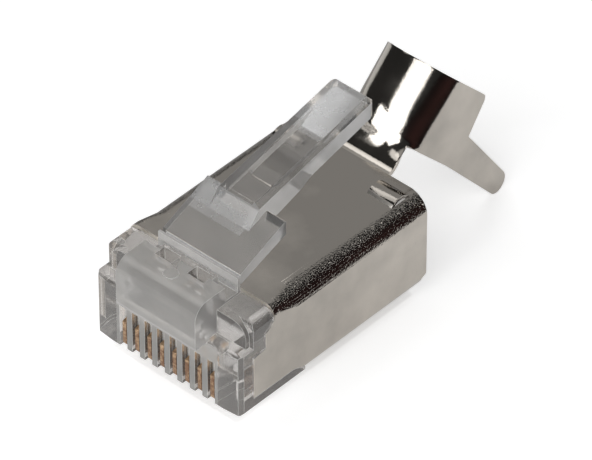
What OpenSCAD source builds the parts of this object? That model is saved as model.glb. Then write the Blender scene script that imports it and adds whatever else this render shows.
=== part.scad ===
// Shielded eight-way network cable plug, millimetres.
// X runs across the plug, Y from the mating face towards the cable, Z up through the latch.
// The origin is on the centreline, at the mating face, on the bottom plane.

/* [Body] */
// Width over the folded shield and over the front corners of the housing
body_w = 11.68; // [11.3:0.02:12.3]
// Height of the body over the shield
body_h = 6.7; // [6.5:0.05:7.4]
// Length from the mating face to the rear edge of the shield
body_l = 16.57; // [15.6:0.05:19]
// Height of the front foot that holds the contacts
foot_h = 4.6; // [4.45:0.05:4.9]
// How far the two upper shoulders stand behind the mating face
shoulder_back = 1.25; // [0.9:0.05:1.6]
// Radius along the top edges of the shoulders
shoulder_r = 0.5; // [0.3:0.05:0.6]
// Sweep of the outer front corners, measured back from the mating face
corner_sweep = 0.1; // [0.05:0.01:0.3]
// Bevel along the two bottom edges of the housing
bottom_bevel = 0.12; // [0.06:0.02:0.3]
// Distance from the housing's rear end to the shield's rear edge
rear_inset = 0.3; // [0.1:0.05:0.6]

/* [Nose] */
// Width of the nose block that carries the latch
nose_w = 6.4; // [6.3:0.05:6.8]
// How far the nose stands out in front of the mating face
nose_out = 0.93; // [0.5:0.01:1.2]
// How far the nose reaches down over the front of the foot
nose_lap = 0.25; // [0.15:0.05:0.35]
// Height of the nose over the top of the shield
nose_rise = 0.9; // [0.8:0.05:1.1]
// Radius of the nose's upper front edge
nose_r = 1.1; // [0.6:0.05:1.2]
// Distance from the mating face to the rear of the nose's full width
nose_back = 1.65; // [1.4:0.05:1.8]
// Depth of the channel between the nose and the cross wall
channel_depth = 1.05; // [0.7:0.05:1.15]
// Distance from the mating face to the front of the two core pockets
pocket_front = 1.15; // [1.05:0.05:1.2]
// Length of each core pocket along the plug
pocket_l = 0.85; // [0.7:0.05:0.9]
// Width of each core pocket
pocket_w = 1.3; // [1.1:0.05:1.5]
// Depth of each core pocket
pocket_depth = 2.1; // [1.6:0.05:2.3]
// Width of the rib between the two core pockets
pocket_rib = 1.3; // [0.9:0.1:1.5]
// Thickness of the walls beside and behind the core pockets
pocket_wall = 0.2; // [0.16:0.01:0.26]
// Thickness of the cross wall that the latch grows out of
root_wall = 0.26; // [0.2:0.02:0.36]
// Radius of the moulding gate mark on the nose
gate_r = 0.48; // [0.3:0.02:0.6]

/* [Shield] */
// Thickness of the folded sheet
sheet_t = 0.3; // [0.2:0.02:0.36]
// Clearance between the sheet and the housing
seat_gap = 0.04; // [0.02:0.01:0.08]
// Outer fold radius along the top edges, behind the shoulders
fold_top_r = 1.4; // [1:0.05:1.6]
// Outer fold radius along the top edges, at the shoulders
fold_front_r = 0.8; // [0.6:0.05:0.95]
// Outer fold radius along the bottom edges
fold_low_r = 0.6; // [0.45:0.05:0.8]
// Distance from the mating face to the front edge of the side walls
side_front = 1.3; // [1.1:0.05:1.6]
// Distance from the mating face to the side walls' edge beside the shoulders
side_step = 2.35; // [2.1:0.05:2.6]
// Distance from the mating face to the front edge of the top
top_front = 3.08; // [3.02:0.02:3.3]
// Distance from the mating face to the front edge of the bottom
under_front = 5.8; // [5.2:0.1:6.6]
// Height of the side walls' lower edge, in front of the bottom
side_low = 0.78; // [0.65:0.02:0.9]
// Width of the open seam along the bottom
seam_w = 0.16; // [0.08:0.02:0.3]
// Length across the plug of each raised bridge on the top
bridge_w = 2; // [1.4:0.1:2.3]
// Span of each raised bridge along the plug
bridge_l = 1.5; // [1.1:0.1:1.8]
// Height of each raised bridge over the top
bridge_h = 0.36; // [0.2:0.02:0.42]
// Distance from the centreline to the middle of each bridge
bridge_x = 3.9; // [3.6:0.05:4]
// Distance from the rear edge of the top to the middle of each bridge
bridge_back = 1.4; // [1.2:0.05:2]

/* [Cable clamp] */
// Length of the flat lip between the rear edge of the top and the bend
lip_l = 0.21; // [0.15:0.01:0.4]
// Angle that the tail is bent up from the top of the shield, before crimping
tail_angle = 44; // [36:1:52]
// Width of the neck where it leaves the top of the shield
neck_w = 5.4; // [5:0.1:5.8]
// Inside radius of the bend at the foot of the neck
bend_r = 0.2; // [0.1:0.02:0.3]
// Length of the neck, from the bend to the collar
neck_l = 1.67; // [1.3:0.05:2.2]
// Outer radius of the collar
collar_r = 2.7; // [2.6:0.05:3]
// Length of the collar along the cable
collar_l = 4.92; // [4.6:0.02:5.6]
// Height of the collar's crown over the plane of the neck
crown_rise = 0.7; // [0.5:0.05:0.9]
// Length of the right wing below the middle of the collar
wing_drop = 3.55; // [3:0.05:4]
// Length of each claw beyond its wing
claw_l = 7.05; // [5.5:0.05:7.5]
// Width of each claw where it leaves its wing
claw_w = 2.15; // [2:0.05:2.4]
// Width of each claw at its tip
claw_tip_w = 1.5; // [1.2:0.05:1.7]
// How far each claw leans towards the neck at its tip
claw_lean = 0.36; // [0.2:0.02:0.4]

/* [Latch] */
// Width of the latch behind its root
latch_w = 6.24; // [6:0.02:6.3]
// Width of the release tab
tab_w = 3.23; // [3:0.01:3.3]
// Rise of the latch's wide base, in degrees
base_rise = 22.8; // [21:0.2:24]
// Distance from the mating face to the locking shoulders
lock_y = 7.05; // [6.9:0.05:7.2]
// Rise of the release tab, in degrees
tab_rise = 12; // [11:0.5:13]
// Distance from the mating face to the tip of the tab
tip_y = 16.55; // [15.8:0.05:16.8]
// Height of the tab over the shield's top at its tip
tip_h = 5.2; // [5.1:0.05:5.6]
// Thickness of the tab at its tip
tab_t = 1.2; // [1:0.05:1.25]
// Thickness of the base at its root
root_t = 0.78; // [0.6:0.02:0.85]
// Thickness of the base at the locking shoulders
lock_t = 1.05; // [0.9:0.05:1.2]
// Width of each rail beside the pocket in the tab
tab_rail = 0.57; // [0.4:0.01:0.7]
// Depth of the pocket between the tab's rails
tab_pocket = 0.5; // [0.3:0.05:0.6]
// Depth of the shallow channel from the ramp to the pocket
tab_channel = 0.18; // [0.1:0.02:0.25]
// Length of the slope at the pocket's rear end
pocket_slope = 1.3; // [0.6:0.1:1.6]
// Length of the tab's thick part behind the locking shoulders
thick_l = 2.9; // [2.4:0.1:3.2]
// Distance from the tip of the tab to the foot of the pocket's rear slope
pad_l = 3.7; // [3.4:0.1:4.2]
// Length of the ramp's foot in front of the locking shoulders
ramp_back = 1.75; // [1.5:0.05:2]
// Length of the ramp along the plug
ramp_l = 1; // [0.8:0.05:1.2]
// Height of the latch's underside over the shield at its root
latch_lift = 0.18; // [0.16:0.01:0.3]
// Clearance between the latch and the cross wall of the housing
hinge_gap = 0.06; // [0.04:0.01:0.1]
// Radius of the tab's two rear corners
tip_r = 0.45; // [0.3:0.05:0.8]

/* [Contacts] */
// Spacing of the contacts
pitch = 1.016; // [0.98:0.002:1.04]
// Thickness of each contact blade
blade_t = 0.32; // [0.26:0.02:0.36]
// Clearance on each side of a blade in its slot
blade_gap = 0.03; // [0.02:0.005:0.04]
// Width of the open front of each slot
slot_w = 0.58; // [0.5:0.02:0.64]
// Height of each open slot at the mating face
slot_h = 3.15; // [3:0.05:3.3]
// Length of each blade along the plug
blade_l = 3.32; // [3:0.02:3.6]
// Height of each blade's lower edge over the bottom plane
blade_low = 0.1; // [0.05:0.01:0.3]
// Height of the points that pierce the wires, over the bottom plane
blade_tip = 3.1; // [2.9:0.02:3.15]

/* [Wire guide and cable entry] */
// Height of the wire chamber's floor
chamber_low = 2.6; // [2.5:0.02:2.7]
// Height of the wire chamber
chamber_h = 1.6; // [1.5:0.02:1.65]
// Width of the wire chamber beyond the eight contact spacings
chamber_side = 0.27; // [0.2:0.01:0.5]
// Clearance between the guide and the chamber
guide_gap = 0.05; // [0.03:0.01:0.08]
// Length of the guide
guide_l = 6; // [5:0.1:6.2]
// Diameter of each wire hole in the guide
wire_d = 0.86; // [0.76:0.02:0.9]
// Width of the cable entry
entry_w = 9.2; // [8.8:0.1:9.4]
// Height of the cable entry
entry_h = 4.75; // [4.6:0.05:4.8]
// Length of the cable entry, from the housing's rear end to the funnel
entry_l = 6.8; // [6:0.1:7.2]

/* [Hidden] */
$fn = 48;
half_w = body_w / 2;
deck_z = body_h - sheet_t;
nose_under = foot_h - nose_lap;
nose_top = body_h + nose_rise;
core_w = body_w - 2 * (sheet_t + seat_gap);
core_low = sheet_t + seat_gap;
core_top = deck_z - seat_gap;
housing_l = body_l - rear_inset;
over = 2;
ways = 8;
chamber_w = ways * pitch + chamber_side;
root_gap = 0.08;
hinge_y = top_front - root_gap;
latch_front = hinge_y + hinge_gap;
latch_low = body_h + latch_lift;
tip_z = body_h + tip_h;
tab_top_slope = tan(tab_rise);
base_slope = tan(base_rise);
latch_root_z = latch_low + root_t;
lock_z = latch_root_z + (lock_y - latch_front) * base_slope;
chamber_front = 0.95;
guide_front = chamber_front + guide_gap;
wire_z = chamber_low + chamber_h / 2 + 0.05;
blade_front = 0.08;
blade_back = blade_front + blade_l;
blade_step = 0.5;
blade_body_top = chamber_low - 0.05;
entry_mid = (core_low + core_top) / 2 - 0.03;
funnel_back = housing_l - entry_l;
funnel_front = guide_front + guide_l + 0.15;
bend_y = body_l + lip_l;
bend_z = body_h + bend_r;
collar_mid = crown_rise - collar_r;
collar_back = neck_l + collar_l;

// Points on an arc about c, from angle a0 to angle a1
function arc_points(c, r, a0, a1, n = 8) =
    [for (i = [0:n]) let (a = a0 + (a1 - a0) * i / n) [c[0] + r * cos(a), c[1] + r * sin(a)]];

// The corner at p, between the points a and b, rounded to the radius r
function round_corner(a, p, b, r, n = 6) =
    let (u = (a - p) / norm(a - p), v = (b - p) / norm(b - p))
    let (half = acos(u * v) / 2, reach = r / tan(half))
    let (c = p + (u + v) / norm(u + v) * r / sin(half))
    let (p0 = p + u * reach - c, p1 = p + v * reach - c)
    let (a0 = atan2(p0[1], p0[0]), turn = atan2(p1[1], p1[0]) - a0)
    let (sweep = turn > 180 ? turn - 360 : turn < -180 ? turn + 360 : turn)
    arc_points(c, r, a0, a0 + sweep, n);

// A closed outline whose corners [y, z, radius] are rounded where the radius is above zero
function rounded(path) = [
    for (i = [0:len(path) - 1])
        let (count = len(path), q = path[i], before = path[(i + count - 1) % count])
        let (after = path[(i + 1) % count], p = [q[0], q[1]])
        each q[2] > 0 ? round_corner([before[0], before[1]], p, [after[0], after[1]], q[2]) : [p]
];

// Extrudes a (Y, Z) outline across the plug, centred on the plane x
module along_x(w, x = 0) {
    translate([x, 0, 0]) rotate([90, 0, 90]) linear_extrude(w, center = true) children();
}

// Extrudes an (X, Z) outline from y0 to y1
module along_y(y0, y1) {
    translate([0, y1, 0]) rotate([90, 0, 0]) linear_extrude(y1 - y0) children();
}

// Extrudes an (X, Y) outline from z0 to z1
module along_z(z0, z1) {
    translate([0, 0, z0]) linear_extrude(z1 - z0) children();
}

// Box from its two corners
module block(low, high) {
    translate(low) cube(high - low);
}

// Cross-section of a folded box: width, lower and upper height, and the fold radii
module section(w, low, high, low_r, top_r) {
    translate([-w / 2, low + low_r]) square([w, high - low - low_r - top_r]);
    translate([-w / 2 + low_r, low]) square([w - 2 * low_r, low_r + 0.01]);
    translate([-w / 2 + top_r, high - top_r - 0.01]) square([w - 2 * top_r, top_r + 0.01]);
    for (side = [-1, 1]) {
        translate([side * (w / 2 - low_r), low + low_r]) circle(low_r);
        translate([side * (w / 2 - top_r), high - top_r]) circle(top_r);
    }
}

// The region in front of the shield, seen from the side; g pulls its edge back from the sheet
module front_region(g) {
    lead = 0.4;
    step_low = foot_h - 0.75;
    step_high = foot_h + 0.55;
    polygon(concat(
        [[-over, -over], [under_front - g, -over], [under_front - g, side_low - lead - g],
         [under_front - 1 - g, side_low - g], [side_front - g, side_low - g]],
        [[side_front - g, step_low], [side_step - g, step_low + 0.15], [side_step - g, step_high],
         [side_step + lead - g, step_high + 0.25], [top_front - g, step_high + 0.55]],
        [[top_front - g, body_h + over], [-over, body_h + over]]));
}

// Side outline of the nose, with its rounded upper front edge
module nose_outline() {
    polygon(rounded([
        [-nose_out, nose_under, 0], [hinge_y, nose_under, 0],
        [hinge_y, nose_top, 0.1], [-nose_out, nose_top, nose_r]]));
}

// The foot and the shoulders as they show in front of the shield
module housing_front() {
    corner = 0.2;
    swept_w = 1.3;
    intersection() {
        along_x(body_w) front_region(seat_gap);
        along_z(0, deck_z) polygon([
            [-half_w, corner_sweep + 1.5 * corner], [-half_w + corner, corner_sweep], [-half_w + swept_w, 0],
            [half_w - swept_w, 0], [half_w - corner, corner_sweep], [half_w, corner_sweep + 1.5 * corner],
            [half_w, under_front + over], [-half_w, under_front + over]]);
        difference() {
            along_y(0, under_front) section(body_w, -over, deck_z, corner, shoulder_r);
            for (side = [-1, 1])
                translate([side * half_w, 0, 0]) rotate([0, 45, 0])
                    cube([bottom_bevel * sqrt(2), 4 * body_l, bottom_bevel * sqrt(2)], center = true);
        }
        along_x(body_w) polygon(rounded([
            [0, 0, 0], [under_front, 0, 0], [under_front, deck_z, 0],
            [shoulder_back, deck_z, 0.35], [shoulder_back, foot_h, 0], [0, foot_h, 0.4]]));
    }
}

// Channel in front of the cross wall, and the two core pockets that lighten the nose
module nose_cuts() {
    box_half = pocket_rib / 2 + pocket_w + pocket_wall;
    box_back = pocket_front + pocket_l + pocket_wall;
    difference() {
        block([-nose_w, nose_back, nose_top - channel_depth], [nose_w, hinge_y - root_wall, nose_top + over]);
        block([-box_half, 0, 0], [box_half, box_back, nose_top + 2 * over]);
    }
    for (left = [-pocket_rib / 2 - pocket_w, pocket_rib / 2])
        block([left, pocket_front, nose_top - pocket_depth],
              [left + pocket_w, pocket_front + pocket_l, nose_top + over]);
}

// One open contact slot with the narrow slit that holds the blade
module contact_slot() {
    slit = blade_t + 2 * blade_gap;
    slot_floor = blade_low + 0.7;
    slot_back = blade_back + 0.25;
    slit_top = chamber_low + 0.2;
    bridge_low = blade_tip - 0.15;
    along_x(slot_w) polygon([
        [-over, -over], [slot_back, -over], [slot_back, slot_floor],
        [blade_step, slot_floor], [blade_step, slot_h], [-over, slot_h]]);
    along_x(slit) polygon([
        [-over, -over], [blade_back + blade_gap, -over], [blade_back + blade_gap, slit_top],
        [chamber_front + 0.1, slit_top], [chamber_front + 0.1, bridge_low],
        [blade_step - 0.08, bridge_low], [blade_step - 0.08, slot_h], [-over, slot_h]]);
}

// Wire chamber, funnel and cable entry, one behind the other
module cable_cavity() {
    chamber_top = chamber_low + chamber_h;
    entry_low = entry_mid - entry_h / 2;
    entry_top = entry_mid + entry_h / 2;
    intersection() {
        along_x(body_w) polygon([
            [chamber_front, chamber_low], [funnel_front, chamber_low], [funnel_back, entry_low],
            [body_l + over, entry_low], [body_l + over, entry_top], [funnel_back, entry_top],
            [funnel_front, chamber_top], [chamber_front, chamber_top]]);
        along_z(-over, body_h + over) polygon([
            [-chamber_w / 2, 0], [-chamber_w / 2, funnel_front], [-entry_w / 2, funnel_back],
            [-entry_w / 2, body_l + over], [entry_w / 2, body_l + over], [entry_w / 2, funnel_back],
            [chamber_w / 2, funnel_front], [chamber_w / 2, 0]]);
    }
}

// Clear moulded housing: foot, shoulders, nose and the body that slides into the shield
module housing() {
    color([0.78, 0.79, 0.78, 0.45]) {
        difference() {
            union() {
                housing_front();
                along_y(chamber_front, housing_l)
                    section(core_w, core_low, core_top, fold_low_r - core_low, fold_top_r - core_low);
                along_x(nose_w) nose_outline();
            }
            nose_cuts();
            cable_cavity();
            for (i = [0:ways - 1])
                translate([(i - (ways - 1) / 2) * pitch, 0, 0]) contact_slot();
        }
        translate([0, 0.45, nose_top - 0.01]) cylinder(h = 0.07, r = gate_r);
    }
}

// Latch arm: wide base, locking shoulders, ramp and release tab with a pocket between two rails
module latch_lever() {
    base_low_slope = (lock_z - lock_t - latch_low) / (lock_y - latch_front);
    ramp_y = lock_y - ramp_back;
    ramp_z = latch_root_z + (ramp_y - latch_front) * base_slope;
    ramp_top_y = ramp_y + ramp_l;
    pocket_y = lock_y + 1 - tip_y;
    thick_y = lock_y + thick_l;
    thin_y = thick_y + ramp_l;
    inner = tab_w / 2 - tab_rail;
    function under_z(y) = tip_z - tab_t - (tip_y - y) * tab_top_slope;
    color([0.8, 0.81, 0.8, 0.5]) {
        along_x(latch_w) polygon(rounded([
            [latch_front, latch_low, 0.1], [lock_y, lock_z - lock_t, 0.08],
            [lock_y, lock_z, 0.08], [latch_front, latch_root_z, 0.15]]));
        difference() {
            intersection() {
                along_x(tab_w) polygon(rounded([
                    [ramp_y, ramp_z - 0.1, 0],
                    [ramp_top_y, tip_z - (tip_y - ramp_top_y) * tab_top_slope, 0.2],
                    [tip_y, tip_z, 0.15],
                    [tip_y, tip_z - tab_t + 0.2, 0],
                    [tip_y - 0.4, tip_z - tab_t, 0],
                    [thin_y, under_z(thin_y), 0.3],
                    [thick_y, under_z(thick_y) - 0.3, 0.3],
                    [lock_y + 0.9, lock_z - lock_t + 0.1, 0],
                    [lock_y - 0.2, lock_z - lock_t - 0.2 * base_low_slope, 0],
                    [ramp_y, ramp_z - 0.8, 0]]));
                along_z(0, tip_z + over) polygon(concat(
                    [[-tab_w / 2, 0], [tab_w / 2, 0]],
                    arc_points([tab_w / 2 - tip_r, tip_y - tip_r], tip_r, 0, 90),
                    arc_points([-tab_w / 2 + tip_r, tip_y - tip_r], tip_r, 90, 180)));
            }
            translate([0, tip_y, tip_z]) rotate([tab_rise, 0, 0]) {
                intersection() {
                    along_x(tab_w) polygon([
                        [pocket_y, over], [pocket_y, -tab_pocket], [-pad_l, -tab_pocket],
                        [pocket_slope - pad_l, 0], [pocket_slope - pad_l, over]]);
                    along_z(-over, over) polygon(rounded([
                        [-inner, pocket_y, 0.35], [inner, pocket_y, 0.35],
                        [inner, 0, 0.15], [-inner, 0, 0.15]]));
                }
                block([-inner, ramp_top_y - tip_y + 0.1, -tab_channel], [inner, -pad_l, over]);
            }
        }
    }
}

// Outside or inside of the folded box, with the tighter front folds eased into the rear ones
module folded_box(inset, y0, y1) {
    w = body_w - 2 * inset;
    ease_front = top_front + 0.5;
    ease_back = top_front + 2;
    low_r = fold_low_r - inset;
    module tight_fold() section(w, inset, body_h - inset, low_r, fold_front_r - inset);
    module full_fold() section(w, inset, body_h - inset, low_r, fold_top_r - inset);
    along_y(y0, ease_front) tight_fold();
    hull() {
        along_y(ease_front - 0.01, ease_front) tight_fold();
        along_y(ease_back, ease_back + 0.01) full_fold();
    }
    along_y(ease_back, y1) full_fold();
}

// One raised bridge, pressed up out of the top between two cuts
module bridge(w, grow) {
    r = (pow(bridge_l / 2, 2) + pow(bridge_h, 2)) / (2 * bridge_h);
    along_x(w) intersection() {
        translate([0, bridge_h - r]) circle(r + grow);
        translate([-bridge_l, -sheet_t - 0.01]) square([2 * bridge_l, 4 * sheet_t]);
    }
}

// Moves from the root of the tail, where Y runs along the neck and Z is its outer normal
module tail_frame() {
    translate([0, bend_y + bend_r * sin(tail_angle), bend_z - bend_r * cos(tail_angle)])
        rotate([tail_angle, 0, 0]) children();
}

// Neck: flat at the bend and arched where it meets the collar, as a lofted sheet
module neck() {
    across = 24;
    along = 14;
    blend = 0.02;
    lap = 0.15;
    reach = asin(0.815);
    function ease(s) = s * s * (3 - 2 * s);
    function depth(inner) = inner ? sheet_t - blend : blend;
    function flat(u, inner) = [u * (neck_w / 2 - blend), -depth(inner)];
    function bowed(u, inner) = let (r = collar_r - depth(inner))
        [r * sin(u * reach), collar_mid + r * cos(u * reach)];
    function point(i, j, inner) =
        let (s = ease(j / along), u = 2 * i / across - 1)
        let (p = flat(u, inner) * (1 - s) + bowed(u, inner) * s)
        [p[0], -blend + (neck_l + lap + blend) * j / along, p[1]];
    ring = 2 * (across + 1);
    points = [for (j = [0:along]) each concat(
        [for (i = [0:across]) point(i, j, false)],
        [for (i = [across:-1:0]) point(i, j, true)])];
    last = along * ring;
    faces = concat(
        [for (i = [0:across - 1])
            let (a = i, b = i + 1, c = ring - 2 - i, d = ring - 1 - i)
            each [[a, b, c], [a, c, d], [last + a, last + c, last + b], [last + a, last + d, last + c]]],
        [for (j = [0:along - 1], k = [0:ring - 1])
            let (a = j * ring + k, b = j * ring + (k + 1) % ring)
            each [[a, b + ring, b], [a, a + ring, b + ring]]]);
    polyhedron(points = points, faces = faces);
}

// Side outline of one wing, which ends at wing_back, with its claw from claw_low to claw_high
module wing_outline(wing_back, claw_low, claw_high) {
    wing_end = collar_mid - wing_drop;
    claw_end = wing_end - claw_l;
    tip_low = claw_low - claw_lean;
    polygon(rounded([
        [neck_l, over, 0], [collar_back, over, 0], [collar_back, collar_mid, 0],
        [wing_back, collar_mid - 0.6, 0], [wing_back, wing_end, 0.3],
        [claw_high + 0.06, wing_end - 0.5, 0.35],
        [tip_low + claw_tip_w, claw_end, 0.7], [tip_low, claw_end, 0.7],
        [claw_low, wing_end, 0], [min(neck_l, claw_low), collar_mid - 1.2, 0], [neck_l, collar_mid, 0]]));
}

// Collar that is crimped round the cable: a half round with two wings and staggered claws
module collar() {
    inner = collar_r - sheet_t;
    leg = wing_drop + claw_l + over;
    reach = collar_r + over;
    left_claw = collar_back - 0.6;
    intersection() {
        along_y(0, collar_back + over) translate([0, collar_mid]) difference() {
            union() {
                circle(collar_r);
                translate([-collar_r, -leg]) square([2 * collar_r, leg]);
            }
            circle(inner);
            translate([-inner, -leg - 1]) square([2 * inner, leg + 1]);
        }
        union() {
            along_x(reach, reach / 2) wing_outline(collar_back, neck_l, neck_l + claw_w);
            along_x(reach, -reach / 2) wing_outline(collar_back - 0.5, left_claw - claw_w, left_claw);
        }
    }
}

// Folded nickel-plated shield with the tail that clamps and earths the cable
module shield() {
    low_back = body_l - 0.45;
    color([0.66, 0.65, 0.63]) {
        difference() {
            intersection() {
                difference() {
                    folded_box(0, 0, body_l);
                    folded_box(sheet_t, -over, body_l + over);
                }
                along_x(body_w + over) polygon(rounded([
                    [0, -over, 0], [low_back, -over, 0], [low_back, fold_low_r - 0.1, 0.2],
                    [body_l, fold_low_r + 0.1, 0.2], [body_l, body_h + over, 0], [0, body_h + over, 0]]));
            }
            along_x(body_w + over) front_region(0);
            block([-seam_w / 2, 0, -over], [seam_w / 2, body_l + over, core_low]);
            for (side = [-1, 1])
                translate([side * bridge_x, body_l - bridge_back, body_h])
                    block([-bridge_w / 2, -bridge_l / 2, -2 * sheet_t], [bridge_w / 2, bridge_l / 2, sheet_t]);
        }
        for (side = [-1, 1])
            translate([side * bridge_x, body_l - bridge_back, body_h]) difference() {
                bridge(bridge_w, 0);
                bridge(bridge_w + over, -sheet_t * 0.8);
            }
        block([-neck_w / 2, body_l - 0.01, deck_z], [neck_w / 2, bend_y, body_h]);
        translate([-neck_w / 2, bend_y, bend_z]) rotate([90, 0, 90]) rotate([0, 0, -90])
            rotate_extrude(angle = tail_angle) translate([bend_r, 0]) square([sheet_t, neck_w]);
        tail_frame() {
            neck();
            collar();
        }
    }
}

// Clear insert that holds the eight wires in line over the contacts
module wire_guide() {
    w = chamber_w - 2 * guide_gap;
    low = chamber_low + guide_gap;
    high = chamber_low + chamber_h - guide_gap;
    slit = blade_t + 4 * blade_gap;
    color([0.75, 0.78, 0.8, 0.6]) difference() {
        along_x(w) polygon(rounded([
            [guide_front, low, 0.15], [guide_front + guide_l, low, 0.15],
            [guide_front + guide_l, high, 0.15], [guide_front, high, 0.15]]));
        for (i = [0:ways - 1])
            translate([(i - (ways - 1) / 2) * pitch, 0, 0]) {
                translate([0, guide_front + 0.4, wire_z]) rotate([-90, 0, 0])
                    cylinder(h = guide_l + over, d = wire_d);
                block([-slit / 2, guide_front - over, low - over], [slit / 2, blade_back + 0.15, wire_z]);
            }
    }
}

// Gold-plated contact blade with three points that pierce the wire above it
module contact(i) {
    front_r = 0.25;
    step_z = 2.05;
    shoulder_z = blade_tip - 0.2;
    first_point = blade_front + 1.07;
    point_w = 0.5;
    point_pitch = (blade_back - first_point) / 3;
    color([0.83, 0.66, 0.36])
        along_x(blade_t, (i - (ways + 1) / 2) * pitch) polygon(concat(
            arc_points([blade_front + front_r, blade_low + front_r], front_r, 180, 270),
            [[blade_back, blade_low], [blade_back, blade_body_top]],
            [for (k = [2:-1:0]) let (y = first_point + k * point_pitch)
                each [[y + point_w, blade_body_top], [y + point_w / 2, blade_tip], [y, blade_body_top]]],
            [[blade_front + 0.85, shoulder_z], [blade_step, shoulder_z], [blade_step, step_z]],
            [[blade_front, step_z - 0.1]]));
}

housing();
latch_lever();
shield();
wire_guide();
contact(1);  // contact_1
contact(2);  // contact_2
contact(3);  // contact_3
contact(4);  // contact_4
contact(5);  // contact_5
contact(6);  // contact_6
contact(7);  // contact_7
contact(8);  // contact_8
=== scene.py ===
import math
import bmesh
import bpy
import numpy as np
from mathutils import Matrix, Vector


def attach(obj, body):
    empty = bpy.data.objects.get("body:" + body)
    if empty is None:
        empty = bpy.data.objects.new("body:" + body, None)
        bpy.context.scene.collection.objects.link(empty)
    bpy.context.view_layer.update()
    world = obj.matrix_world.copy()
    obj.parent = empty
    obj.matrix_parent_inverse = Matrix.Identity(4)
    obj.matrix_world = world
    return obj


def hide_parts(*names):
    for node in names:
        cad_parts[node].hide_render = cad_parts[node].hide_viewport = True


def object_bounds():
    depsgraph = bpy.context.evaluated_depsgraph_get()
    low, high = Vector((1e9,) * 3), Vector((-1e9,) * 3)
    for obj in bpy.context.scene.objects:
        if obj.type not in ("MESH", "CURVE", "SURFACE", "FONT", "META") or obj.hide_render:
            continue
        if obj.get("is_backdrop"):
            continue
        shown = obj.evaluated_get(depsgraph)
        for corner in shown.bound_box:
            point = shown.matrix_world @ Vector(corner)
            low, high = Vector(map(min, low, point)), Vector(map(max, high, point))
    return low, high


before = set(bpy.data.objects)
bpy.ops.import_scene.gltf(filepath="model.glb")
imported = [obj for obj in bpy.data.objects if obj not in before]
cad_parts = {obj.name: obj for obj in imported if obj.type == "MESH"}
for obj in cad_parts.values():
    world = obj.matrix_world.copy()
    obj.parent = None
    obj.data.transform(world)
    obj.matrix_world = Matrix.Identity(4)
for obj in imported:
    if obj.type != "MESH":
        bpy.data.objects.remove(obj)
lowest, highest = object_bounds()


# Shield. On the real plug it is one blank of thin nickel-plated sheet, stamped and then folded
# round the housing, so its cut edges are slightly rounded and its flats are a little wavy.
def merged(node, name, edge, sharp=32, segments=2, behind=None, parted=(), rims=0):
    """Copy of a CAD node: its points welded, its flat facets joined, each sharp edge rolled to the
    radius edge in metres, and the rest shaded smooth. What lies past y = behind is cut off.
    The faces are parted along each (axis, value) plane, where one finish ends and the next begins,
    and the rolled edges get the material number rims."""
    bm = bmesh.new()
    bm.from_mesh(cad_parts[node].data)
    bmesh.ops.remove_doubles(bm, verts=bm.verts, dist=5e-7)
    if behind:
        bmesh.ops.bisect_plane(bm, geom=bm.verts[:] + bm.edges[:] + bm.faces[:], dist=1e-9,
                               plane_co=(0, behind, 0), plane_no=(0, 1, 0), clear_outer=True)
    bmesh.ops.dissolve_limit(bm, angle_limit=math.radians(0.4), verts=bm.verts, edges=bm.edges)
    if edge:
        rim = [e for e in bm.edges if len(e.link_faces) == 2 and e.calc_face_angle(0) > math.radians(sharp)]
        rolled = bmesh.ops.bevel(bm, geom=rim, offset=edge, offset_type="OFFSET", segments=segments,
                                 profile=0.6, affect="EDGES", clamp_overlap=True)
        for face in rolled["faces"]:
            face.material_index = rims
    for axis, value in parted:
        across = Vector((0, 0, 0))
        across[axis] = 1
        bmesh.ops.bisect_plane(bm, geom=bm.verts[:] + bm.edges[:] + bm.faces[:], dist=1e-9,
                               plane_co=across * value, plane_no=across)
    mesh = bpy.data.meshes.new(name)
    bm.to_mesh(mesh)
    bm.free()
    mesh.shade_smooth()
    mesh.set_sharp_from_angle(angle=math.radians(sharp + 6))
    piece = bpy.data.objects.new(name, mesh)
    bpy.context.scene.collection.objects.link(piece)
    shading = piece.modifiers.new("flat_faces", "WEIGHTED_NORMAL")
    shading.keep_sharp = True
    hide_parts(node)
    return piece


def material(name, **settings):
    """A new material with one Principled shader; the settings are that shader's sockets by name."""
    made = bpy.data.materials.new(name)
    made.use_nodes = True
    shader = made.node_tree.nodes["Principled BSDF"]
    for socket, value in settings.items():
        shader.inputs[socket.replace("_", " ")].default_value = value
    return made, made.node_tree, shader


def noise(tree, scale, detail=3.0, stretch=(1, 1, 1)):
    """Noise on the piece's own object coordinates; scale is in features per metre."""
    place = tree.nodes.new("ShaderNodeTexCoord")
    spread = tree.nodes.new("ShaderNodeMapping")
    spread.inputs["Scale"].default_value = stretch
    cloud = tree.nodes.new("ShaderNodeTexNoise")
    cloud.inputs["Scale"].default_value = scale
    cloud.inputs["Detail"].default_value = detail
    tree.links.new(place.outputs["Object"], spread.inputs["Vector"])
    tree.links.new(spread.outputs["Vector"], cloud.inputs["Vector"])
    return cloud.outputs["Fac"]


def along(tree, axis):
    """One of the piece's own object coordinates, in metres."""
    place = tree.nodes.new("ShaderNodeTexCoord")
    axes = tree.nodes.new("ShaderNodeSeparateXYZ")
    tree.links.new(place.outputs["Object"], axes.inputs[0])
    return axes.outputs[axis]


def spread(tree, source, low, high, start=0.3, end=0.7):
    """Maps a value from start..end to low..high."""
    span = tree.nodes.new("ShaderNodeMapRange")
    span.inputs["From Min"].default_value = start
    span.inputs["From Max"].default_value = end
    span.inputs["To Min"].default_value = low
    span.inputs["To Max"].default_value = high
    tree.links.new(source, span.inputs["Value"])
    return span.outputs["Result"]


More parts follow.
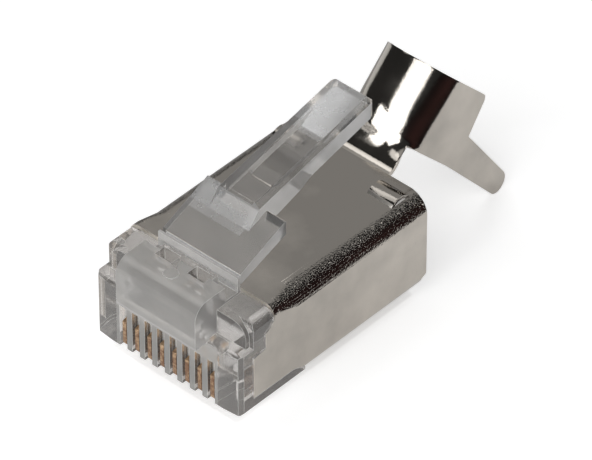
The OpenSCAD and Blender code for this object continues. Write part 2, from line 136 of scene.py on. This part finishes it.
def tint(tree, source, low, high, start=0.3, end=0.7):
    """Colour ramp from low to high over start..end of a value."""
    ramp = tree.nodes.new("ShaderNodeValToRGB")
    ramp.color_ramp.elements[0].position = start
    ramp.color_ramp.elements[0].color = (*low, 1)
    ramp.color_ramp.elements[1].position = end
    ramp.color_ramp.elements[1].color = (*high, 1)
    tree.links.new(source, ramp.inputs["Fac"])
    return ramp.outputs["Color"]


def relief(tree, layers):
    """Chain of bumps, each (height, distance in metres, strength); returns the normal."""
    normal = None
    for height, distance, strength in layers:
        bump = tree.nodes.new("ShaderNodeBump")
        bump.inputs["Distance"].default_value = distance
        bump.inputs["Strength"].default_value = strength
        tree.links.new(height, bump.inputs["Height"])
        if normal:
            tree.links.new(normal, bump.inputs["Normal"])
        normal = bump.outputs["Normal"]
    return normal


shield = merged("shield", "plated_shield", 0.00005, behind=0.016575)
def plated(name, rear, wave, hammered=False):
    """Nickel plate on sheet: clouded, wavy by up to wave metres and finely grained. rear is how much the
    top face is darkened towards the rear, a painted shade. Where hammered, the fold's own grain grows with the
    attribute bent."""
    made, tree, shader = material(name, Metallic=1.0)
    # Painted shade: the top face is darkened towards its rear, for a dimmer reflection there.
    rear_shade = tree.nodes.new("ShaderNodeMath")
    rear_shade.operation = "MULTIPLY"
    tree.links.new(spread(tree, along(tree, "Y"), 0.3 * rear, rear, 0.005, 0.015), rear_shade.inputs[0])
    tree.links.new(spread(tree, along(tree, "Z"), 0, 1, 0.0058, 0.0064), rear_shade.inputs[1])
    cloud_and_rear_shade = tree.nodes.new("ShaderNodeMath")
    cloud_and_rear_shade.operation = "SUBTRACT"
    tree.links.new(noise(tree, 260, 4), cloud_and_rear_shade.inputs[0])
    tree.links.new(rear_shade.outputs[0], cloud_and_rear_shade.inputs[1])
    tree.links.new(tint(tree, cloud_and_rear_shade.outputs[0], (0.40, 0.373, 0.338), (0.625, 0.58, 0.522), 0.2, 0.7),
                   shader.inputs["Base Color"])
    tree.links.new(spread(tree, noise(tree, 420, 5), 0.07, 0.16), shader.inputs["Roughness"])
    layers = [(noise(tree, 200, 2), wave, 1), (noise(tree, 9000, 2), 0.000008, 0.6)]
    if hammered:
        bent = tree.nodes.new("ShaderNodeAttribute")
        bent.attribute_name = "bent"
        dents = tree.nodes.new("ShaderNodeMath")
        dents.operation = "MULTIPLY"
        tree.links.new(noise(tree, 12500, 0), dents.inputs[0])
        tree.links.new(bent.outputs["Fac"], dents.inputs[1])
        layers.append((dents.outputs[0], 0.00004, 1.0))
    tree.links.new(relief(tree, layers), shader.inputs["Normal"])
    return made


def zoned(piece, materials, zone):
    """Gives each face the material that zone(x, y, z, facing) names by number, from the face's middle
    in millimetres and its normal. The rolled edges get the last material."""
    mesh = piece.data
    for made in materials:
        mesh.materials.append(made)
    middle = np.empty(len(mesh.polygons) * 3)
    facing = np.empty(len(mesh.polygons) * 3)
    mesh.polygons.foreach_get("center", middle)
    mesh.polygons.foreach_get("normal", facing)
    x, y, z = middle.reshape(-1, 3).T * 1000
    rolled = np.empty(len(mesh.polygons), np.int32)
    mesh.polygons.foreach_get("material_index", rolled)
    named = np.where(rolled == 9, len(materials) - 1, zone(x, y, z, facing.reshape(-1, 3).T))
    mesh.polygons.foreach_set("material_index", named.astype(np.int32))


plate = plated("nickel_plate", 0.5, 0.000036, hammered=True)
cut_metal, tree, shader = material("cut_sheet_edge", Metallic=1.0, Roughness=0.3)
tree.links.new(tint(tree, noise(tree, 2500, 2), (0.74, 0.70, 0.65), (0.90, 0.86, 0.80)), shader.inputs["Base Color"])
facing = np.empty(len(shield.data.vertices) * 3)
shield.data.vertices.foreach_get("normal", facing)
facing = facing.reshape(-1, 3)
bent = shield.data.attributes.new("bent", "FLOAT", "POINT")
bent.data.foreach_set("value", np.clip(2.6 * np.abs(facing[:, 0] * facing[:, 2]) - 0.3, 0, 1).astype(np.float32))
zoned(shield, [plate, cut_metal], lambda x, y, z, facing: facing[1] < -0.6)
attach(shield, "root")


# Tail of the shield. The same sheet runs on over the rear edge, is bent up by 44 degrees and is
# pressed from a flat neck into a half-round collar, whose two wings and staggered claws are
# crimped round the cable.
def sheet_metal(name, points, faces, thick, rim):
    """Middle surface given the sheet's thickness to both sides, with its cut edges rolled by rim."""
    mesh = bpy.data.meshes.new(name)
    mesh.from_pydata(points * 0.001, [], faces)
    mesh.shade_smooth()
    piece = bpy.data.objects.new(name, mesh)
    bpy.context.scene.collection.objects.link(piece)
    wall = piece.modifiers.new("wall", "SOLIDIFY")
    wall.thickness, wall.offset, wall.use_even_offset = thick * 0.001, 0, True
    edges = piece.modifiers.new("edges", "BEVEL")
    edges.width, edges.segments, edges.limit_method, edges.angle_limit = rim * 0.001, 2, "ANGLE", math.radians(50)
    return piece


def eased(x, start, end):
    """Smooth step from 0 at start to 1 at end."""
    t = np.clip((x - start) / (end - start), 0, 1)
    return t * t * (3 - 2 * t)


def tail_section(girth, t, crown=2.55, mid=-2.0, flat=-0.15):
    """Point across the tail: a flat strip near the bend that is drawn into a half round of the radius
    crown with straight legs, as girth runs round it from the crown line and t runs along the cable.
    The crown line itself still rises where the legs have already reached their full depth."""
    aside = eased(np.abs(girth), 2.6, 3.6) * eased(t, 0, 1.5)
    w = 1 - (1 - eased(t, 0.5, 2.1)) * (1 - aside)
    turn = np.clip(girth / crown, -np.pi / 2, np.pi / 2)
    leg = np.maximum(np.abs(girth) - crown * np.pi / 2, 0)
    height = crown - 0.42 * (1 - eased(t, 0.5, 3.6))
    x = girth * (1 - w) + crown * np.sin(turn) * w
    n = flat * (1 - w) + (mid + height * np.cos(turn)) * w
    return np.where(leg > 0, crown * np.sin(turn), x), np.where(leg > 0, mid - leg, n)


def tail_place(x, t, n, lip_y=16.557, bend_z=7.45, inner=0.75, tilt=math.radians(44), start=0.222):
    """Puts (x, t, n) on the tail: t above start runs up the neck and collar; t below it runs back round
    the bend, an arc whose outer side has the radius inner, and along the flat lip."""
    arc = inner + 0.15
    turn = np.clip(tilt + (t - start) / arc, 0, tilt)
    back = np.minimum(t - start + tilt * arc, 0)
    ahead = np.maximum(t - start, 0)
    r = inner - n
    y = lip_y + back + r * np.sin(turn) + ahead * np.cos(turn)
    z = bend_z - r * np.cos(turn) + ahead * np.sin(turn)
    return np.stack([x, y, z], -1)


def wing_edges(depth, back, claw, tip=(0.36, 1.5)):
    """Near and far edge along the cable, at each depth below the collar's middle: a wing that ends
    at back, then a sloping foot into a claw. claw is its near and far edge, and tip is how far its
    end leans towards the neck and how wide that end is. The claw's two end corners are round."""
    near = np.interp(depth, [1.2, 3.55, 10.6], [1.67, claw[0], claw[0] - tip[0]])
    far = np.interp(depth, [3.55, 4.05, 10.6], [back, claw[1] + 0.06, claw[0] - tip[0] + tip[1]])
    corner = np.clip((depth - 3.25) / 0.3, 0, 1)
    far = np.where(depth < 3.56, far - 0.3 * (1 - np.sqrt(1 - corner ** 2)), far)
    end = np.clip((depth - 9.9) / 0.7, 0, 1)
    pull = 0.69 * (1 - np.sqrt(1 - end ** 2))
    return near + pull, far - pull


quarter = 2.55 * np.pi / 2
depths = np.concatenate([np.linspace(0.25, 3.2, 10), 3.25 + 0.3 * np.sin(np.linspace(0.1, np.pi / 2, 7)),
                         np.linspace(3.6, 4.05, 10), np.linspace(4.3, 9.9, 22),
                         9.9 + 0.7 * np.sin(np.linspace(0.15, np.pi / 2, 12))])
top = np.concatenate([-np.linspace(quarter, 2.7, 12), np.linspace(-2.7, 2.7, 61)[1:-1], np.linspace(2.7, quarter, 12)])
girth = np.concatenate([-(quarter + depths[::-1]), top, quarter + depths])
left = wing_edges(np.maximum(-girth - quarter, 0), 6.09, (3.84, 5.99))
right = wing_edges(np.maximum(girth - quarter, 0), 6.59, (1.67, 3.82))
near = np.where(girth < 0, left[0], right[0])
far = np.where(girth < -quarter, left[1], np.where(girth > quarter, right[1], 6.59 - 0.5 * eased(-girth, quarter - 0.7, quarter)))
bend_rows = np.linspace(-0.53, 0.222, 14)
neck_rows = np.linspace(0.222, 1.67, 20)[1:-1]
reach = np.concatenate([bend_rows, neck_rows])
fan = np.linspace(0, 1, 40)
rows_neck = np.broadcast_to(reach[:, None], (len(reach), len(girth)))
rows_collar = near[None, :] + (far - near)[None, :] * fan[:, None]
t = np.vstack([rows_neck, rows_collar])
x, n = tail_section(np.broadcast_to(girth[None, :], t.shape), np.maximum(t, 0))
n[0] -= 0.012
points = tail_place(x, t, n)
row, column = np.meshgrid(np.arange(t.shape[0] - 1), np.arange(t.shape[1] - 1), indexing="ij")
corner = row * t.shape[1] + column
quads = np.stack([corner, corner + 1, corner + 1 + t.shape[1], corner + t.shape[1]], -1)
centre = (girth[:-1] + girth[1:]) / 2
kept = (row >= len(reach)) | (np.abs(centre)[None, :] < 2.7)
quads = quads[kept]
used = np.unique(quads)
tail = sheet_metal("plated_tail", points.reshape(-1, 3)[used], np.searchsorted(used, quads).tolist(), 0.3, 0.05)
tail.data.materials.append(plated("crimped_plate", 0, 0.000012))
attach(tail, "root")


# Housing. One clear polycarbonate moulding: glass-clear where the tool was polished, milky on the
# nose, where it was left matt, with small moulding radii on its edges, coloured pale as a painted highlight.
def plastic(name, tones, rough, clearness, grain=0.0, index=1.5, brushed=None):
    """Clear or matt plastic: two tones that it drifts between, its roughness from low to high, how
    much light passes straight through, and the height in metres of its surface grain. Where brushed,
    the roughness runs in fine lines across the plug."""
    made, tree, shader = material(name, IOR=index, Transmission_Weight=clearness)
    tree.links.new(tint(tree, noise(tree, 450, 3), *tones), shader.inputs["Base Color"])
    streaks = noise(tree, 3200, 3, (0.05, 1, 1)) if brushed else noise(tree, 700, 4)
    tree.links.new(spread(tree, streaks, *rough), shader.inputs["Roughness"])
    layers = [(noise(tree, 350, 2), 0.00006, 0.25)]
    if grain:
        layers.append((noise(tree, 5000, 2), grain, 0.5))
    tree.links.new(relief(tree, layers), shader.inputs["Normal"])
    return made


housing = merged("housing", "clear_housing", 0.00006, rims=9,
                 parted=((0, -0.0041), (0, 0.0041), (1, 0.0017), (2, 0.0045), (2, 0.00708)))
clear = plastic("clear_polycarbonate", ((0.54, 0.52, 0.50), (0.64, 0.62, 0.60)), (0.03, 0.1), 0.84)
milky = plastic("milky_polycarbonate", ((0.52, 0.51, 0.49), (0.60, 0.59, 0.57)), (0.12, 0.24), 0.6, 0.000002)
frosted = plastic("frosted_polycarbonate", ((0.48, 0.48, 0.48), (0.56, 0.56, 0.56)), (0.2, 0.34), 0.68)
satin = plastic("satin_polycarbonate", ((0.58, 0.57, 0.56), (0.68, 0.67, 0.66)), (0.12, 0.2), 0.55)
# The rolled edges of housing and latch get a pale, less clear copy: a painted highlight along each edge.
edges = plastic("edge_highlight_polycarbonate", ((0.80, 0.80, 0.78), (0.90, 0.90, 0.88)), (0.08, 0.16), 0.3)
# The nose's right side, which faces the key lamp, and a thin band along its lower front edge get the paler satin
# finish: painted light on the lit side and a painted highlight along the edge.
zoned(housing, [clear, milky, frosted, satin, edges], lambda x, y, z, facing: np.select(
      [(y > 2.6) & (z > 7.08) & (np.abs(x) < 3.3), (y < 2.6) & (z > 4.3) & (x > 1.5) & (x < 3.3) & (facing[0] > 0.6),
       (y < 0) & (z > 4.3) & (z < 4.5), (y > 2.6) & (z > 6.6) & (np.abs(x) < 3.3),
       (np.abs(x) < 3.3) & (z > 4.3) & (y < 1.1), (np.abs(x) < 4.1) & (z < 4.3) & (y < 0.6) & (facing[1] < -0.7)],
      [3, 3, 3, 2, 1, 1], 0))
housing.visible_shadow = False
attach(housing, "root")


# Latch. It is moulded with the housing: a polished base and channel that the sheet shows through,
# and a spark-eroded ramp, thumb pad and edge faces that scatter the light.
latch = merged("latch_lever", "clear_latch", 0.00006, rims=9,
               parted=((1, 0.00543), (1, 0.0064), (1, 0.0101), (1, 0.0112), (1, 0.0129), (0, 0.0010)))
polished = plastic("polished_polycarbonate", ((0.60, 0.59, 0.58), (0.70, 0.69, 0.68)), (0.02, 0.22), 0.97, brushed=True)
# A darker copy of the polished finish for the band across the pocket: painted shade where the thick part of the lever
# steps down to the thin one.
step_shade = plastic("painted_step_shade", ((0.42, 0.41, 0.40), (0.52, 0.51, 0.50)), (0.05, 0.25), 0.95, brushed=True)
zoned(latch, [polished, frosted, step_shade, satin, edges], lambda x, y, z, facing: np.select(
      [np.abs(facing[0]) > 0.7, (y > 5.43) & (y < 7.1) & (x < 1.7) & (z > 7.6), (y > 12.9) & (x < 1.0),
       (y > 10.1) & (y < 11.2) & (np.abs(x) < 1.1)], [3, 1, 1, 2], 0))
latch.visible_shadow = latch.visible_glossy = False
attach(latch, "latch")


# Contacts. Eight stamped copper-alloy blades with gold plate over nickel on their front edges.
gold, tree, shader = material("contact_gold", Metallic=1.0)
# Painted shade: the blades darken from gold to dark copper-brown towards the bottom, where they sit deep in their
# slots; the noise on top is their own uneven tone.
tone_and_slot_shade = tree.nodes.new("ShaderNodeMath")
tone_and_slot_shade.operation = "MULTIPLY_ADD"
tone_and_slot_shade.inputs[1].default_value = 1.3
tree.links.new(noise(tree, 5200, 3), tone_and_slot_shade.inputs[0])
tree.links.new(spread(tree, along(tree, "Z"), -0.55, 0.35, 0.0017, 0.0026), tone_and_slot_shade.inputs[2])
tree.links.new(tint(tree, tone_and_slot_shade.outputs[0], (0.28, 0.165, 0.105), (0.98, 0.72, 0.45), 0, 0.9), shader.inputs["Base Color"])
tree.links.new(spread(tree, along(tree, "Z"), 0.25, 0.5, 0.0017, 0.0026), shader.inputs["Roughness"])
for way in range(1, 9):
    blade = merged(f"contact_{way}", f"gold_blade_{way}", 0.00003)
    blade.data.materials.append(gold)
    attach(blade, "root")


# Wire guide. A milky clear moulding with eight holes that holds the wires over the blades.
guide = merged("wire_guide", "milky_guide", 0.00004)
guide.data.materials.append(
    plastic("guide_polycarbonate", ((0.60, 0.60, 0.59), (0.70, 0.70, 0.69)), (0.2, 0.35), 0.6, 0.000002, 1.55))
guide.visible_shadow = False
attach(guide, "root")


# Studio: a pale table with a painted shadow under the plug, a large soft box above the camera, dimmer
# ones behind and to the left, a small one for the glint along the fold, and a dark card on the right
# and a grey one on the left, which only the sheet mirrors and which glow faintly as painted
# reflections. The surroundings are dark, so it shows all these as bands.
def panel(name, corners):
    """Flat four-cornered sheet through the given points."""
    mesh = bpy.data.meshes.new(name)
    mesh.from_pydata(corners, [], [(0, 1, 2, 3)])
    sheet = bpy.data.objects.new(name, mesh)
    bpy.context.scene.collection.objects.link(sheet)
    sheet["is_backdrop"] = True
    return sheet


half = 1.5
floor_z = lowest[2] - 0.00002
table = panel("table", [(-half, -half, floor_z), (half, -half, floor_z), (half, half, floor_z), (-half, half, floor_z)])
paper, tree, shader = material("white_paper", Roughness=0.8)
shader.inputs["Base Color"].default_value = (0.9, 0.9, 0.9, 1)
glow = tree.nodes.new("ShaderNodeEmission")
rays = tree.nodes.new("ShaderNodeLightPath")
seen = tree.nodes.new("ShaderNodeMath")
seen.operation = "MAXIMUM"
tree.links.new(rays.outputs["Is Camera Ray"], seen.inputs[0])
tree.links.new(rays.outputs["Is Transmission Ray"], seen.inputs[1])
mirrored = tree.nodes.new("ShaderNodeMath")
mirrored.operation = "MULTIPLY_ADD"
mirrored.inputs[1].default_value = 0.36
tree.links.new(rays.outputs["Is Glossy Ray"], mirrored.inputs[0])
tree.links.new(seen.outputs[0], mirrored.inputs[2])
# Painted shadow: under the plug's footprint the table's glow is cut to three quarters, for the table there lying in the
# plug's shadow.
shade = tree.nodes.new("ShaderNodeMath")
shade.operation = "MULTIPLY"
for axis, middle, reach, place in (("X", 0, 0.0052, 0), ("Y", 0.0083, 0.0078, 1)):
    off = tree.nodes.new("ShaderNodeMath")
    off.operation = "COMPARE"
    off.inputs[1].default_value, off.inputs[2].default_value = middle, reach
    tree.links.new(along(tree, axis), off.inputs[0])
    tree.links.new(off.outputs[0], shade.inputs[place])
lit = tree.nodes.new("ShaderNodeMath")
lit.operation = "MULTIPLY"
tree.links.new(mirrored.outputs[0], lit.inputs[0])
tree.links.new(spread(tree, shade.outputs[0], 1, 0.75, 0, 1), lit.inputs[1])
tree.links.new(lit.outputs[0], glow.inputs["Strength"])
both = tree.nodes.new("ShaderNodeAddShader")
tree.links.new(shader.outputs[0], both.inputs[0])
tree.links.new(glow.outputs[0], both.inputs[1])
tree.links.new(both.outputs[0], tree.nodes["Material Output"].inputs["Surface"])
glow.inputs["Color"].default_value = (0.5, 0.5, 0.5, 1)
table.data.materials.append(paper)
card_x = 0.015
card_top = 0.013
card = panel("dark_card", [(card_x, -0.02, 0), (card_x, 0.09, 0), (card_x, 0.09, card_top), (card_x, -0.02, card_top)])
# The dark card glows faintly reddish, brightest at half its height: a painted reflection of a dark band with a reddish
# stripe in the sheet.
dark_glow, tree, shader = material("dark_reflection_glow", Roughness=1.0, Specular_IOR_Level=0.0, Emission_Strength=1.0)
shader.inputs["Base Color"].default_value = (0.02, 0.012, 0.012, 1)
height = tree.nodes.new("ShaderNodeMath")
height.operation = "PINGPONG"
height.inputs[1].default_value = 0.0065
tree.links.new(along(tree, "Z"), height.inputs[0])
tree.links.new(tint(tree, spread(tree, height.outputs[0], 0, 1, 0, 0.0065), (0.006, 0.005, 0.005), (0.030, 0.014, 0.013), 0.3, 0.9),
               shader.inputs["Emission Color"])
card.data.materials.append(dark_glow)
grey_card = panel("grey_card", [(-0.012, -0.01, 0), (-0.012, 0.05, 0), (-0.012, 0.05, 0.0065), (-0.012, -0.01, 0.0065)])
# The grey card glows grey with soft clouds: a painted reflection in the sheet.
grey_glow, tree, shader = material("grey_reflection_glow", Roughness=1.0, Specular_IOR_Level=0.0, Emission_Strength=1.0)
shader.inputs["Base Color"].default_value = (0.05, 0.05, 0.05, 1)
tree.links.new(tint(tree, noise(tree, 60, 2), (0.30, 0.30, 0.30), (0.38, 0.38, 0.38)), shader.inputs["Emission Color"])
grey_card.data.materials.append(grey_glow)
for sheet in (card, grey_card):
    sheet.visible_camera = sheet.visible_diffuse = sheet.visible_shadow = sheet.visible_transmission = False


def soft_box(name, toward, distance, width, height, power, colour=(1, 1, 1)):
    """Area lamp that faces the plug from the direction toward."""
    lamp = bpy.data.lights.new(name, "AREA")
    lamp.shape = "RECTANGLE"
    lamp.size, lamp.size_y, lamp.energy, lamp.color = width, height, power, colour
    holder = bpy.data.objects.new(name, lamp)
    direction = Vector(toward).normalized()
    holder.location = Vector((0, 0.011, 0.004)) + direction * distance
    holder.rotation_euler = direction.to_track_quat("Z", "Y").to_euler()
    bpy.context.scene.collection.objects.link(holder)
    return holder


soft_box("key_box", (0.43, -0.665, 0.61), 0.7, 0.66, 0.6, 3.2)
soft_box("back_box", (-0.438, 0.465, 0.769), 0.71, 1.07, 0.8, 1.1)
soft_box("low_back_box", (-0.46, 0.85, 0.24), 0.7, 0.3, 0.24, 0.25)
soft_box("top_box", (-0.45, -0.12, 0.88), 0.7, 0.42, 0.42, 0.55)
soft_box("low_front_box", (-0.15, -0.94, 0.30), 0.7, 0.48, 0.36, 1.5)
soft_box("edge_box", (0.555, 0.559, 0.616), 0.7, 0.08, 0.08, 0.1)
world = bpy.data.worlds.new("studio")
world.use_nodes = True
world.node_tree.nodes["Background"].inputs["Color"].default_value = (0.03, 0.03, 0.03, 1)
bpy.context.scene.world = world


# Camera, from the front right and above, through a long lens.
lens = bpy.data.cameras.new("camera")
lens.lens = 400
lens.sensor_width = 36
lens.clip_start = 0.01
view = bpy.data.objects.new("camera", lens)
aim = Vector((0, 0.01133, 0.00406))
away = Vector((0.510, -0.559, 0.653)).normalized()
view.location = aim + away * 0.394
view.rotation_euler = away.to_track_quat("Z", "Y").to_euler()
bpy.context.scene.collection.objects.link(view)
bpy.context.scene.camera = view
bpy.context.scene.view_settings.view_transform = "Standard"

lowest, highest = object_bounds()
